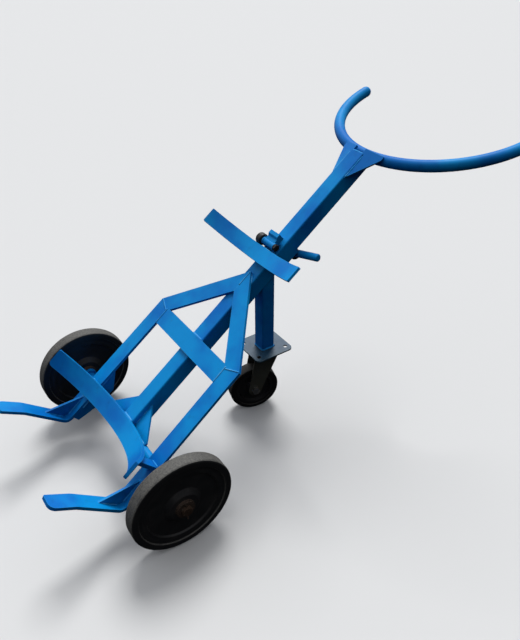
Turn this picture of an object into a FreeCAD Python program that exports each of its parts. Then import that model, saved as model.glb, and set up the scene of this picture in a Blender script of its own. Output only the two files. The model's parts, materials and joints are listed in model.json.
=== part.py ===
"""Three-wheeled drum truck: a leaning welded frame on two fixed wheels and a rear caster.

Millimetres. +X is to one side, +Y points from the toes back to the handle, +Z is up.
The origin is under the middle of the truck's bounding box, on the ground.

Two sets of axes are used while building:
  truck axes  x, y, z   y = 0 at the wheel axle, z = 0 on the ground
  deck axes   x, s, n   s runs up the leaning spine from the axle, n stands out of its front face
"""
import FreeCAD, Part
import math
import os

V = FreeCAD.Vector

# Overall layout
LEAN = 37.5                    # spine above the horizontal, degrees
WHEEL_DIAMETER = 250.0
WHEEL_WIDTH = 34.0
WHEEL_TRACK = 558.0            # between the middles of the two wheels
SPINE_LENGTH = 905.0           # axle to the handle end of the spine
SPINE_SIZE = 45.0
SPINE_WALL = 3.0
SPINE_CORNER = 4.0

# Flat bars on the deck plane
FLAT = 8.0                     # thickness of every flat bar in the frame
SIDE_WIDTH = 44.0
SIDE_TOP_X = 168.0             # middle of a side member at its upper corner
SIDE_TOP_S = 298.0
SIDE_SPLAY = 1.0               # degrees that the side members open downwards
DIAGONAL_MEETS_SPINE_S = 476.6
CROSSBAR_S = 240.0
CROSSBAR_WIDTH = 50.0

# Toes, measured from the front face of the side member
HEEL_S = -108.5                # corner of the bend, on the toe's upper face
TOE_REACH = 181.0              # deck plane to the tip
TOE_DROOP = 12.0               # degrees below square to the side member
TOE_NOSE = 62.0                # length that droops further at the tip
TOE_NOSE_DROOP = 9.0
HEEL_RADIUS = 14.0
NOSE_RADIUS = 60.0
TIP_OUTER_RADIUS = 16.0
TIP_INNER_RADIUS = 4.0
TOE_GUSSET_REACH = 60.0
TOE_GUSSET_RISE = 72.0
TOE_GUSSET_THICKNESS = 6.0
AXLE_BRACKET_DEPTH = 36.0
AXLE_BRACKET_THICKNESS = 8.0

# Drum cradle
DRUM_RADIUS = 292.0
SADDLE_HALF_WIDTH = 231.0
SADDLE_LOW_S = -22.0
SADDLE_HIGH_S = 26.0
SADDLE_LOW_CORNER = 12.0
SADDLE_HIGH_CORNER = 4.0
STAY_LOW_S = 3.0
STAY_HEIGHT = 10.0
STAY_FOOT_INNER_X = 161.0
STAY_FOOT_OUTER_X = 192.0
STAY_HEAD_INNER_X = 205.0
STAY_HEAD_OUTER_X = 222.0
LOWER_GUSSET_HALF_WIDTH = 93.0
LOWER_GUSSET_TOP_S = 88.0
LOWER_GUSSET_FLARE_S = 18.0
LOWER_GUSSET_DEPTH = 14.0      # spine front face down to the gusset's front face

# Handle bow
BOW_RADIUS = 284.0
BOW_TUBE = 30.0
BOW_WALL = 2.5
BOW_TILT = 12.7                # bow plane above the horizontal, degrees
BOW_HALF_SWEEP = 84.0          # degrees of arc each side of the spine
BOW_DEPTH = 32.5               # spine front face down to the tube's middle
CAP_WALL = 3.0
UPPER_GUSSET_HALF_WIDTH = 70.0
UPPER_GUSSET_BOTTOM_S = 828.0
UPPER_GUSSET_SLOPE = 16.0      # degrees that it falls away from the spine
GUSSET_THICKNESS = 6.0
UPPER_GUSSET_DEPTH = 2.5

# Rear leg and caster
LEG_Y = 420.0
LEG_SIZE = 38.0
LEG_WALL = 3.0
CASTER_HEIGHT = 205.0
CASTER_WHEEL_DIAMETER = 140.0
CASTER_WHEEL_WIDTH = 34.0
CASTER_TRAIL = 35.0
CASTER_REST_TURN = 15.0        # degrees that the caster stands turned
PLATE_X = 112.0
PLATE_Y = 116.0
PLATE_THICKNESS = 4.0
PLATE_CORNER = 14.0
PLATE_HOLE_X = 75.0
PLATE_HOLE_Y = 87.0
PLATE_HOLE_RADIUS = 5.5
FORK_THICKNESS = 4.0
FORK_GAP = 3.5                 # wheel side to fork leg
KINGPIN_DIAMETER = 14.0
CROWN_DIAMETER = 80.0
FORK_BOSS_RADIUS = 19.0
CASTER_BOLT_DIAMETER = 12.0
CASTER_SPACER_DIAMETER = 18.0
CASTER_BUSH_DIAMETER = 26.0
CASTER_BALL_RADIUS = 3.5
CASTER_BALL_COUNT = 18
BALL_INSET = 9.0               # ball circle inside the crown's rim
CROWN_DROP = 9.0               # plate's underside down to the crown's top
RACE_INSET = 2.0               # upper race inside the crown's rim
RACE_BORE_GAP = 4.0            # upper race clear of the kingpin, radially
LOWER_RACE_HEIGHT = 7.0
LOWER_RACE_WIDTH = 10.0
KINGPIN_NUT_ACROSS = 22.0      # across flats
KINGPIN_NUT_HEIGHT = 9.0
KINGPIN_END = 2.0              # thread past its nut
FORK_TOP_INSET = 6.0           # fork leg's top edge inside the crown's rim
CASTER_NUT_ACROSS = 19.0
CASTER_NUT_HEIGHT = 9.0
CASTER_HEAD_HEIGHT = 7.5
CASTER_BOLT_END = 3.0
CASTER_TYRE_DEPTH = 17.0
CASTER_SHOULDER = 3.0
CASTER_RIDGE = 2.0             # height of the raised ring on each side of the tyre
CASTER_WEB_HALF = 6.0
CASTER_RIM_LIP = 5.0
CASTER_RIM_SLOPE = 3.0
CASTER_BOSS_WALL = 6.0
CASTER_BOSS_SLOPE = 4.0
CASTER_BOSS_RECESS = 1.0       # core's boss inside the bush's end

# Load wheel section
TYRE_DEPTH = 27.0
TYRE_SHOULDER = 4.5
TYRE_RIDGE = 3.0
RIM_LIP = 8.0
RIM_SLOPE = 3.0
WEB_RECESS = 4.0               # web's face inside the rim's face
BOSS_RADIUS = 35.0
BOSS_SLOPE = 12.0
BOSS_RISE = 3.0                # boss past the tyre's side

# Axle and wheel hub
AXLE_DIAMETER = 25.0
HUB_DIAMETER = 46.0
HUB_OVERHANG = 7.0             # hub past the tyre, each side
WASHER_DIAMETER = 44.0
WASHER_THICKNESS = 3.0
COLLAR_DIAMETER = 38.0
COLLAR_LENGTH = 10.0
AXLE_END = 9.0                 # axle past the outer washer
AXLE_CHAMFER = 1.5
SPLIT_PIN_DIAMETER = 4.0
SPLIT_PIN_REACH = 7.0          # pin past the axle's side
SPLIT_PIN_LEG = 6.0            # bent end
SPLIT_PIN_SPREAD = 0.45        # sideways part of the bent end's direction

# Sliding catch
SLEEVE_LOW_S = 538.0
SLEEVE_LENGTH = 79.0
SLEEVE_WALL = 4.0
TONGUE_WIDTH = 32.0            # part of the sleeve's back wall that runs on past its end
SLEEVE_GAP = 0.5
CATCH_LOW_S = 525.0
CATCH_WIDTH = 41.0
CATCH_CORNER = 3.0
CATCH_HALF_WIDTH = 184.0
CATCH_THICKNESS = 6.0
CATCH_RADIUS = 340.0
CATCH_FACE_N = 27.7            # front face at the middle
SPACER_WIDTH = 40.0
PIVOT_S = 582.0
PIVOT_N = 20.5
PIVOT_DIAMETER = 10.0
EAR_THICKNESS = 4.0
EAR_RADIUS = 9.5
HOOK_WIDTH = 36.0
HOOK_TIP_S = 613.0
HOOK_LOW_N = 12.0
HOOK_FACE_N = 27.0
HOOK_LIP = 5.0                 # how far the nose stands out of the hook's face
HOOK_LIP_LENGTH = 10.0
KNOB_DIAMETER = 30.0           # black cap over the pivot bolt's head
KNOB_LENGTH = 18.0
KNOB_ROUND = 3.5
PIVOT_HEAD_ACROSS = 16.0
PIVOT_HEAD_HEIGHT = 6.0
PIVOT_NUT_ACROSS = 15.0
PIVOT_NUT_HEIGHT = 5.0
PIVOT_WASHER_THICKNESS = 2.0
BARREL_INSET = 1.0             # hook's barrel and washers inside the ears' outline
SCREW_S = 613.0
SCREW_DIAMETER = 14.0
BOSS_DIAMETER = 26.0
BOSS_LENGTH = 3.0
BAR_DIAMETER = 20.0
BAR_HALF_LENGTH = 82.0
BAR_TURN = 16.5                # degrees that the bar stands turned towards the handle
SCREW_HEAD_DIAMETER = 28.0
SCREW_HEAD_LENGTH = 24.0
BAR_ROUND = 4.0

# Clearances
RUN = 0.05                     # radial, shaft in a hole
SIDE_GAP = 0.4                 # axial, between pieces that turn past each other
FACE_GAP = 0.3
PLUG_FIT = 0.2                 # plates and caps inside a tube, each side

WHEEL_RADIUS = WHEEL_DIAMETER / 2
SPINE_HALF = SPINE_SIZE / 2
AXLE_RADIUS = AXLE_DIAMETER / 2
CASTER_RADIUS = CASTER_WHEEL_DIAMETER / 2

nodes = {}


# ---- general shapes ---------------------------------------------------------------

def box(x0, x1, y0, y1, z0, z1):
    return Part.makeBox(x1 - x0, y1 - y0, z1 - z0, V(x0, y0, z0))


def cylinder_x(radius, x0, x1, y=0.0, z=0.0):
    return Part.makeCylinder(radius, x1 - x0, V(x0, y, z), V(1, 0, 0))


def cylinder_z(radius, z0, z1, x=0.0, y=0.0):
    return Part.makeCylinder(radius, z1 - z0, V(x, y, z0), V(0, 0, 1))


def ring_x(outer, inner, x0, x1, y=0.0, z=0.0):
    return cylinder_x(outer, x0, x1, y, z).cut(cylinder_x(inner, x0 - 1, x1 + 1, y, z))


def ring_z(outer, inner, z0, z1, x=0.0, y=0.0):
    return cylinder_z(outer, z0, z1, x, y).cut(cylinder_z(inner, z0 - 1, z1 + 1, x, y))


def hexagon_x(across_flats, x0, x1, y=0.0, z=0.0):
    corner = across_flats / math.sqrt(3)
    points = [V(x0, y + corner * math.cos(math.radians(60 * i)),
                z + corner * math.sin(math.radians(60 * i))) for i in range(7)]
    return Part.Face(Part.makePolygon(points)).extrude(V(x1 - x0, 0, 0))


def hexagon_z(across_flats, z0, z1, x=0.0, y=0.0):
    corner = across_flats / math.sqrt(3)
    points = [V(x + corner * math.cos(math.radians(60 * i)),
                y + corner * math.sin(math.radians(60 * i)), z0) for i in range(7)]
    return Part.Face(Part.makePolygon(points)).extrude(V(0, 0, z1 - z0))


def flat_plate(outline, n0, n1):
    """A flat plate on the deck: outline of (x, s) points, between two heights n."""
    points = [V(x, s, n0) for x, s in outline]
    points.append(points[0])
    return Part.Face(Part.makePolygon(points)).extrude(V(0, 0, n1 - n0))


def side_plate(outline, x0, x1):
    """A plate on edge: outline of (s, n) points, between two places x."""
    points = [V(x0, s, n) for s, n in outline]
    points.append(points[0])
    return Part.Face(Part.makePolygon(points)).extrude(V(x1 - x0, 0, 0))


def round_edges_along(shape, direction, radius):
    """Round every straight edge that runs along a direction."""
    chosen = []
    for edge in shape.Edges:
        if edge.Curve.TypeId == "Part::GeomLine":
            if abs(edge.tangentAt(edge.FirstParameter).dot(direction)) > 0.999:
                chosen.append(edge)
    return shape.makeFillet(radius, chosen)


def turned_about_x(profile):
    """A solid of revolution about the X axis from (x, radius) points."""
    points = [V(x, 0, r) for x, r in profile]
    points.append(points[0])
    return Part.Face(Part.makePolygon(points)).revolve(V(0, 0, 0), V(1, 0, 0), 360)


def curved_flat(radius, thickness, half_width, face_n, s0, s1, corners):
    """A flat bar rolled to an arc whose hollow side faces the drum; corners = (low, high)."""
    middle = V(0, s0, face_n + radius)
    half_angle = math.asin(half_width / radius)
    wedge_reach = radius + 4 * thickness
    bar = Part.makeCylinder(radius + thickness, s1 - s0, middle, V(0, 1, 0))
    bar = bar.cut(Part.makeCylinder(radius, s1 - s0, middle, V(0, 1, 0)))
    side = wedge_reach * math.tan(half_angle)
    tip = middle
    wedge = [tip, tip + V(-side, 0, -wedge_reach), tip + V(side, 0, -wedge_reach), tip]
    bar = bar.common(Part.Face(Part.makePolygon(wedge)).extrude(V(0, s1 - s0, 0)))
    for s, corner in zip((s0, s1), corners):
        ends = [edge for edge in bar.Edges
                if edge.Curve.TypeId == "Part::GeomLine" and edge.Length < 2 * thickness
                and abs(edge.CenterOfMass.y - s) < 0.01]
        bar = bar.makeFillet(corner, ends)
    return bar


# ---- placing ----------------------------------------------------------------------

def from_deck(shape):
    """Deck axes to truck axes."""
    moved = shape.copy()
    moved.translate(V(0, 0, SPINE_HALF))
    moved.rotate(V(0, 0, 0), V(1, 0, 0), LEAN)
    moved.translate(V(0, 0, WHEEL_RADIUS))
    return moved


def mirrored(shape):
    return shape.mirror(V(0, 0, 0), V(1, 0, 0))


def add_pair(name, shape):
    """The right-hand piece stands at +X, the left-hand one is its mirror image."""
    nodes[name + "_right"] = shape
    nodes[name + "_left"] = mirrored(shape)


# ---- spine ------------------------------------------------------------------------

def spine_envelope(margin=0.0):
    """The spine's outer block, deck axes."""
    half = SPINE_HALF + margin
    return box(-half, half, SADDLE_LOW_S, SPINE_LENGTH, -SPINE_SIZE - margin, margin)


def add_spine():
    inner = SPINE_HALF - SPINE_WALL
    outer = round_edges_along(spine_envelope(), V(0, 1, 0), SPINE_CORNER)
    hollow = box(-inner, inner, SADDLE_LOW_S - 1, SPINE_LENGTH + 1,
                 -SPINE_SIZE + SPINE_WALL, -SPINE_WALL)
    tube = outer.cut(round_edges_along(hollow, V(0, 1, 0), SPINE_CORNER - SPINE_WALL))
    axle_hole = cylinder_x(AXLE_RADIUS, -SPINE_SIZE, SPINE_SIZE, 0, -SPINE_HALF)
    nodes["spine_tube"] = from_deck(tube.cut(axle_hole))
    plug = inner - PLUG_FIT
    cap = box(-plug, plug, SPINE_LENGTH - CAP_WALL, SPINE_LENGTH,
              -SPINE_HALF - plug, -SPINE_HALF + plug)
    nodes["spine_end_plate"] = from_deck(cap)


# ---- side members, diagonals and crossbar -----------------------------------------

def corner_outer():
    return SIDE_TOP_X + SIDE_WIDTH / 2, SIDE_TOP_S


def diagonal_direction():
    x, s = corner_outer()
    run = SPINE_HALF - x
    rise = DIAGONAL_MEETS_SPINE_S - s
    length = math.hypot(run, rise)
    return run / length, rise / length


def corner_inner():
    """Where the inner edges of the side member and the diagonal meet."""
    outer_x, outer_s = corner_outer()
    run, rise = diagonal_direction()
    edge_x = outer_x - SIDE_WIDTH * rise
    edge_s = outer_s + SIDE_WIDTH * run
    inner_x = SIDE_TOP_X - SIDE_WIDTH / 2
    reach = (inner_x - edge_x) / run
    return inner_x, edge_s + reach * rise


def bent_strip(corners, radii, thickness):
    """Closed outline of a bent flat bar from the corners of its upper face, as (s, n)."""
    upper = [V(0, s, n) for s, n in corners]
    directions = [(upper[i + 1] - upper[i]).normalize() for i in range(len(upper) - 1)]
    normals = [V(0, -d.z, d.y) for d in directions]
    faces = []
    for offset in (0.0, thickness):
        start = upper[0] + normals[0] * offset
        edges = []
        for i, radius in enumerate(radii):
            turn = directions[i].getAngle(directions[i + 1])
            bends_up = directions[i].cross(directions[i + 1]).x < 0
            trim = radius * math.tan(turn / 2)
            leave = upper[i + 1] - directions[i] * trim
            join = upper[i + 1] + directions[i + 1] * trim
            away_from_centre = 1 if bends_up else -1
            centre = leave - normals[i] * radius * away_from_centre
            bisector = (normals[i] + normals[i + 1]).normalize()
            size = radius + offset * away_from_centre
            arc_start = leave + normals[i] * offset
            arc_end = join + normals[i + 1] * offset
            arc_middle = centre + bisector * size * away_from_centre
            edges.append(Part.LineSegment(start, arc_start).toShape())
            edges.append(Part.Arc(arc_start, arc_middle, arc_end).toShape())
            start = arc_end
        last = upper[-1] + normals[-1] * offset
        edges.append(Part.LineSegment(start, last).toShape())
        faces.append((edges, upper[0] + normals[0] * offset, last))
    (top, top_start, top_end), (bottom, bottom_start, bottom_end) = faces
    ends = [Part.LineSegment(top_start, bottom_start).toShape(),
            Part.LineSegment(top_end, bottom_end).toShape()]
    return Part.Wire(Part.__sortEdges__(top + bottom + ends))


def toe_corners():
    """Upper-face corners (s, n) of the side member from its top, round the heel, to the tip."""
    first = math.radians(TOE_DROOP)
    second = math.radians(TOE_DROOP + TOE_NOSE_DROOP)
    nose_n = FLAT + TOE_REACH - TOE_NOSE * math.cos(second)
    nose_s = HEEL_S - (nose_n - FLAT) * math.tan(first)
    tip_n = FLAT + TOE_REACH
    tip_s = nose_s - (tip_n - nose_n) * math.tan(second)
    return [(SIDE_TOP_S + SIDE_WIDTH, FLAT), (HEEL_S, FLAT), (nose_s, nose_n), (tip_s, tip_n)]


def splayed(shape):
    """Swing a piece built about the side member's middle line out to its place."""
    moved = shape.copy()
    moved.rotate(V(0, SIDE_TOP_S, 0), V(0, 0, 1), SIDE_SPLAY)
    moved.translate(V(SIDE_TOP_X, 0, 0))
    return moved


def add_side_members():
    half = SIDE_WIDTH / 2
    outline = bent_strip(toe_corners(), [HEEL_RADIUS, NOSE_RADIUS], FLAT)
    strip = Part.Face(outline).extrude(V(SIDE_WIDTH, 0, 0))
    strip.translate(V(-half, 0, 0))
    tip_n = FLAT + TOE_REACH
    for radius, across in ((TIP_OUTER_RADIUS, half), (TIP_INNER_RADIUS, -half)):
        edges = [edge for edge in strip.Edges
                 if all(abs(v.X - across) < 0.01 and v.Z > tip_n - FLAT for v in edge.Vertexes)
                 and edge.Length < 1.2 * FLAT]
        strip = strip.makeFillet(radius, edges)
    strip = splayed(strip)
    outer_x, outer_s = corner_outer()
    inner_x, inner_s = corner_inner()
    slope = (outer_s - inner_s) / (outer_x - inner_x)
    left_x = inner_x - SIDE_WIDTH
    right_x = outer_x + SIDE_WIDTH
    above = [(left_x, inner_s + slope * (left_x - inner_x)),
             (right_x, inner_s + slope * (right_x - inner_x)),
             (right_x, SIDE_TOP_S + 4 * SIDE_WIDTH),
             (left_x, SIDE_TOP_S + 4 * SIDE_WIDTH)]
    member = strip.cut(flat_plate(above, -FLAT, 2 * FLAT))
    add_pair("side_member", from_deck(member))
    return member


def add_diagonals():
    outer_x, outer_s = corner_outer()
    inner_x, inner_s = corner_inner()
    run, rise = diagonal_direction()
    slope = rise / run
    outline = [(outer_x, outer_s), (0, outer_s - slope * outer_x),
               (0, inner_s - slope * inner_x), (inner_x, inner_s)]
    diagonal = flat_plate(outline, 0, FLAT)
    add_pair("diagonal", from_deck(diagonal))
    return diagonal


def add_crossbar(member, diagonal):
    bar = box(-SIDE_TOP_X, SIDE_TOP_X, CROSSBAR_S, CROSSBAR_S + CROSSBAR_WIDTH, 0, FLAT)
    for piece in (member, diagonal):
        bar = bar.cut(piece).cut(mirrored(piece))
    pieces = sorted(bar.Solids, key=lambda solid: solid.Volume)
    nodes["upper_crossbar"] = from_deck(pieces[-1])


# ---- toe gussets and axle brackets ------------------------------------------------

def add_toe_gussets(member):
    droop = math.tan(math.radians(TOE_DROOP))
    half = TOE_GUSSET_THICKNESS / 2
    outline = [(HEEL_S, FLAT), (HEEL_S + TOE_GUSSET_RISE, FLAT),
               (HEEL_S - TOE_GUSSET_REACH * droop, FLAT + TOE_GUSSET_REACH)]
    gusset = splayed(side_plate(outline, -half, half)).cut(member)
    largest = max(gusset.Solids, key=lambda solid: solid.Volume)
    add_pair("toe_gusset", from_deck(largest))


def add_axle_brackets():
    """Plates on edge behind the side members: they carry the axle and stiffen the heels."""
    inner = -SIDE_WIDTH / 2 + 1.0
    depth = AXLE_BRACKET_DEPTH
    outline = [(HEEL_S + HEEL_RADIUS, 0), (HEEL_S + HEEL_RADIUS, -depth / 2),
               (-AXLE_DIAMETER, -depth - 2), (AXLE_DIAMETER, -depth - 2), (2 * depth, 0)]
    plate = splayed(side_plate(outline, inner, inner + AXLE_BRACKET_THICKNESS))
    hole = cylinder_x(AXLE_RADIUS, 0, WHEEL_TRACK / 2, 0, -SPINE_HALF)
    add_pair("axle_bracket", from_deck(plate.cut(hole)))


# ---- saddle and its braces --------------------------------------------------------

def add_saddle():
    saddle = curved_flat(DRUM_RADIUS, FLAT, SADDLE_HALF_WIDTH, FLAT,
                         SADDLE_LOW_S, SADDLE_HIGH_S, (SADDLE_LOW_CORNER, SADDLE_HIGH_CORNER))
    nodes["saddle"] = from_deck(saddle)


def add_saddle_stays():
    """Short bars from the side members forward to the saddle's back, near its ends."""
    reach = DRUM_RADIUS
    outline = [V(STAY_FOOT_INNER_X, STAY_LOW_S, FLAT), V(STAY_FOOT_OUTER_X, STAY_LOW_S, FLAT),
               V(STAY_HEAD_OUTER_X, STAY_LOW_S, reach), V(STAY_HEAD_INNER_X, STAY_LOW_S, reach)]
    outline.append(outline[0])
    bar = Part.Face(Part.makePolygon(outline)).extrude(V(0, STAY_HEIGHT, 0))
    drum_side = Part.makeCylinder(DRUM_RADIUS + FLAT, 4 * STAY_HEIGHT,
                                  V(0, STAY_LOW_S - STAY_HEIGHT, FLAT + DRUM_RADIUS), V(0, 1, 0))
    pieces = sorted(bar.cut(drum_side).Solids, key=lambda solid: solid.BoundBox.ZMin)
    add_pair("saddle_stay", from_deck(pieces[0]))


def add_lower_gussets():
    top = -LOWER_GUSSET_DEPTH
    outline = [(SPINE_HALF, 0), (LOWER_GUSSET_HALF_WIDTH, 0),
               (LOWER_GUSSET_HALF_WIDTH, LOWER_GUSSET_FLARE_S),
               (SPINE_HALF, LOWER_GUSSET_TOP_S)]
    plate = flat_plate(outline, top - GUSSET_THICKNESS, top)
    axle = cylinder_x(AXLE_RADIUS, -WHEEL_TRACK, WHEEL_TRACK, 0, -SPINE_HALF)
    plate = plate.cut(axle)
    pieces = sorted(plate.Solids, key=lambda solid: solid.Volume)
    add_pair("lower_gusset", from_deck(pieces[-1]))


# ---- handle bow -------------------------------------------------------------------

def bow_frame():
    """Lowest point of the bow's middle line and the direction in which the bow opens."""
    radius = BOW_TUBE / 2
    lean = math.radians(LEAN)
    tilt = math.radians(BOW_TILT)
    tube_s = SPINE_LENGTH + radius
    height = SPINE_HALF - BOW_DEPTH
    start = V(0, tube_s * math.cos(lean) - height * math.sin(lean),
              WHEEL_RADIUS + tube_s * math.sin(lean) + height * math.cos(lean))
    return start, V(0, math.cos(tilt), math.sin(tilt))


def bow_arc(half_sweep):
    start, opening = bow_frame()
    centre = start + opening * BOW_RADIUS
    angle = math.radians(half_sweep)
    ends = [centre + V(side * math.sin(angle) * BOW_RADIUS, 0, 0)
            - opening * math.cos(angle) * BOW_RADIUS for side in (-1, 1)]
    return Part.Wire(Part.Arc(ends[0], start, ends[1]).toShape()), ends, centre


def bow_solid(radius):
    path, ends, centre = bow_arc(BOW_HALF_SWEEP)
    _, opening = bow_frame()
    spoke = (ends[0] - centre).normalize()
    bow_normal = V(1, 0, 0).cross(opening)
    tangent = spoke.cross(bow_normal)
    circle = Part.Wire(Part.makeCircle(radius, ends[0], tangent))
    return path.makePipeShell([circle], True, True)


def add_bow():
    tube = bow_solid(BOW_TUBE / 2).cut(bow_solid(BOW_TUBE / 2 - BOW_WALL))
    nodes["handle_bow"] = tube
    _, ends, centre = bow_arc(BOW_HALF_SWEEP)
    _, opening = bow_frame()
    bow_normal = V(1, 0, 0).cross(opening)
    spoke = (ends[1] - centre).normalize()
    outward = bow_normal.cross(spoke)
    if outward.dot(opening) < 0:
        outward = outward * -1
    radius = BOW_TUBE / 2
    ball = Part.makeSphere(radius, ends[1])
    ball.rotate(ends[1], V(1, 0, 0), BOW_TILT)
    keep = Part.makeCylinder(2 * radius, radius, ends[1], outward)
    neck = Part.makeCylinder(radius - BOW_WALL - RUN, 2 * CAP_WALL, ends[1] - outward * 2 * CAP_WALL,
                             outward)
    add_pair("handle_cap", ball.common(keep).fuse(neck).removeSplitter())


def add_upper_gussets():
    """Plates from the spine's sides that fall away to the crown of the bow."""
    half_width = UPPER_GUSSET_HALF_WIDTH
    crown_s = SPINE_LENGTH + BOW_TUBE / 2
    edge = GUSSET_THICKNESS
    outline = [(SPINE_HALF - edge, UPPER_GUSSET_BOTTOM_S), (SPINE_HALF, UPPER_GUSSET_BOTTOM_S),
               (half_width, crown_s - edge), (half_width, crown_s + edge),
               (SPINE_HALF - edge, crown_s)]
    top = -UPPER_GUSSET_DEPTH
    plate = flat_plate(outline, top - edge, top)
    plate.rotate(V(SPINE_HALF, 0, top), V(0, 1, 0), UPPER_GUSSET_SLOPE)
    plate = from_deck(plate.cut(spine_envelope()))
    plate = plate.cut(bow_solid(BOW_TUBE / 2))
    pieces = sorted(plate.Solids, key=lambda solid: solid.Volume)
    add_pair("upper_gusset", pieces[-1])


# ---- axle and main wheels ---------------------------------------------------------

def wheel_middle():
    return WHEEL_TRACK / 2


def hub_outer_x():
    return wheel_middle() + WHEEL_WIDTH / 2 + HUB_OVERHANG


def hub_inner_x():
    return wheel_middle() - WHEEL_WIDTH / 2 - HUB_OVERHANG


def axle_end_x():
    return hub_outer_x() + SIDE_GAP + WASHER_THICKNESS + AXLE_END


def at_axle(shape):
    moved = shape.copy()
    moved.translate(V(0, 0, WHEEL_RADIUS))
    return moved


def pin_x():
    return axle_end_x() - AXLE_END + SPLIT_PIN_DIAMETER / 2 + FACE_GAP


def split_pin():
    radius = SPLIT_PIN_DIAMETER / 2
    reach = AXLE_RADIUS + SPLIT_PIN_REACH
    shank = Part.makeCylinder(radius, 2 * reach, V(pin_x(), 0, -reach), V(0, 0, 1))
    eye = Part.makeTorus(1.5 * radius, 0.75 * radius, V(pin_x(), 0, reach + radius), V(1, 0, 0))
    leg = Part.makeCylinder(radius, SPLIT_PIN_LEG, V(pin_x(), 0, -reach),
                            V(SPLIT_PIN_SPREAD, 0, -1))
    return shank.fuse([eye, leg]).removeSplitter()


def add_axle():
    end = axle_end_x()
    shaft = cylinder_x(AXLE_RADIUS, -end, end)
    chamfered = [edge for edge in shaft.Edges if abs(abs(edge.CenterOfMass.x) - end) < 0.01]
    shaft = shaft.makeChamfer(AXLE_CHAMFER, chamfered)
    pin = split_pin()
    pins = [pin, mirrored(pin)]
    hole = Part.makeCylinder(SPLIT_PIN_DIAMETER / 2, AXLE_DIAMETER + 2,
                             V(pin_x(), 0, -AXLE_RADIUS - 1), V(0, 0, 1))
    shaft = shaft.cut(hole).cut(mirrored(hole))
    nodes["axle_shaft"] = at_axle(shaft)
    nodes["split_pins"] = at_axle(Part.makeCompound(pins))
    collar_end = hub_inner_x() - SIDE_GAP - WASHER_THICKNESS - FACE_GAP
    collar = ring_x(COLLAR_DIAMETER / 2, AXLE_RADIUS, collar_end - COLLAR_LENGTH, collar_end)
    nodes["axle_collars"] = at_axle(Part.makeCompound([collar, mirrored(collar)]))
    outer = ring_x(WASHER_DIAMETER / 2, AXLE_RADIUS + RUN, hub_outer_x() + SIDE_GAP,
                   hub_outer_x() + SIDE_GAP + WASHER_THICKNESS)
    inner = ring_x(WASHER_DIAMETER / 2, AXLE_RADIUS + RUN,
                   hub_inner_x() - SIDE_GAP - WASHER_THICKNESS, hub_inner_x() - SIDE_GAP)
    washers = [outer, inner, mirrored(outer), mirrored(inner)]
    nodes["axle_washers"] = at_axle(Part.makeCompound(washers))


def tyre(radius, width, seat, shoulder, ridge):
    """Solid rubber tyre with rounded shoulders and a raised ring on each side."""
    half = width / 2
    profile = [(-half + ridge, seat), (-half + ridge, radius - 4 * shoulder),
               (-half, radius - 3.6 * shoulder), (-half, radius - shoulder),
               (-half + 0.3 * shoulder, radius - 0.3 * shoulder), (-half + shoulder, radius),
               (half - shoulder, radius), (half - 0.3 * shoulder, radius - 0.3 * shoulder),
               (half, radius - shoulder), (half, radius - 3.6 * shoulder),
               (half - ridge, radius - 4 * shoulder), (half - ridge, seat)]
    return turned_about_x(profile)


def wheel_core(seat, bore):
    """Rim, web and boss between the tyre and the hub sleeve."""
    face = WHEEL_WIDTH / 2 - TYRE_RIDGE
    web = face - WEB_RECESS
    boss_face = WHEEL_WIDTH / 2 + BOSS_RISE
    lip = seat - RIM_LIP
    half = [(face, seat), (face, lip), (web, lip - RIM_SLOPE), (web, BOSS_RADIUS + BOSS_SLOPE),
            (boss_face, BOSS_RADIUS), (boss_face, bore)]
    other = [(-x, r) for x, r in reversed(half)]
    return turned_about_x(half + other)


def add_main_wheels():
    seat = WHEEL_RADIUS - TYRE_DEPTH
    hub = HUB_DIAMETER / 2
    middle = V(wheel_middle(), 0, WHEEL_RADIUS)
    half_hub = WHEEL_WIDTH / 2 + HUB_OVERHANG
    pieces = {
        "wheel_tyre": tyre(WHEEL_RADIUS, WHEEL_WIDTH, seat, TYRE_SHOULDER, TYRE_RIDGE),
        "wheel_core": wheel_core(seat, hub),
        "wheel_hub": ring_x(hub, AXLE_RADIUS + RUN, -half_hub, half_hub),
    }
    for name, piece in pieces.items():
        piece.translate(middle)
        add_pair(name, piece)


# ---- rear leg and caster ----------------------------------------------------------

def add_rear_leg():
    half = LEG_SIZE / 2
    inner = half - LEG_WALL
    top = WHEEL_RADIUS + SPINE_LENGTH
    leg = box(-half, half, LEG_Y - half, LEG_Y + half, CASTER_HEIGHT, top)
    leg = round_edges_along(leg, V(0, 0, 1), SPINE_CORNER - 1)
    leg = leg.cut(box(-inner, inner, LEG_Y - inner, LEG_Y + inner, CASTER_HEIGHT - 1, top + 1))
    above = box(-SPINE_SIZE, SPINE_SIZE, -SPINE_LENGTH, 2 * SPINE_LENGTH,
                -SPINE_SIZE, SPINE_LENGTH)
    nodes["rear_leg"] = leg.cut(from_deck(above))


def caster_levels():
    """Heights of the caster's stack, from the plate down to the kingpin's nut."""
    plate_low = CASTER_HEIGHT - PLATE_THICKNESS
    crown_top = plate_low - CROWN_DROP
    crown_low = crown_top - FORK_THICKNESS
    cup_low = crown_low - LOWER_RACE_HEIGHT
    return plate_low, crown_top, crown_low, cup_low


def ball_circle():
    return CROWN_DIAMETER / 2 - BALL_INSET


def ball_groove(y):
    """Track of the caster's balls round an upright axis at y."""
    plate_low, crown_top, _, _ = caster_levels()
    middle = V(0, y, (plate_low + crown_top) / 2)
    return Part.makeTorus(ball_circle(), CASTER_BALL_RADIUS + RUN, middle, V(0, 0, 1))


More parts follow.
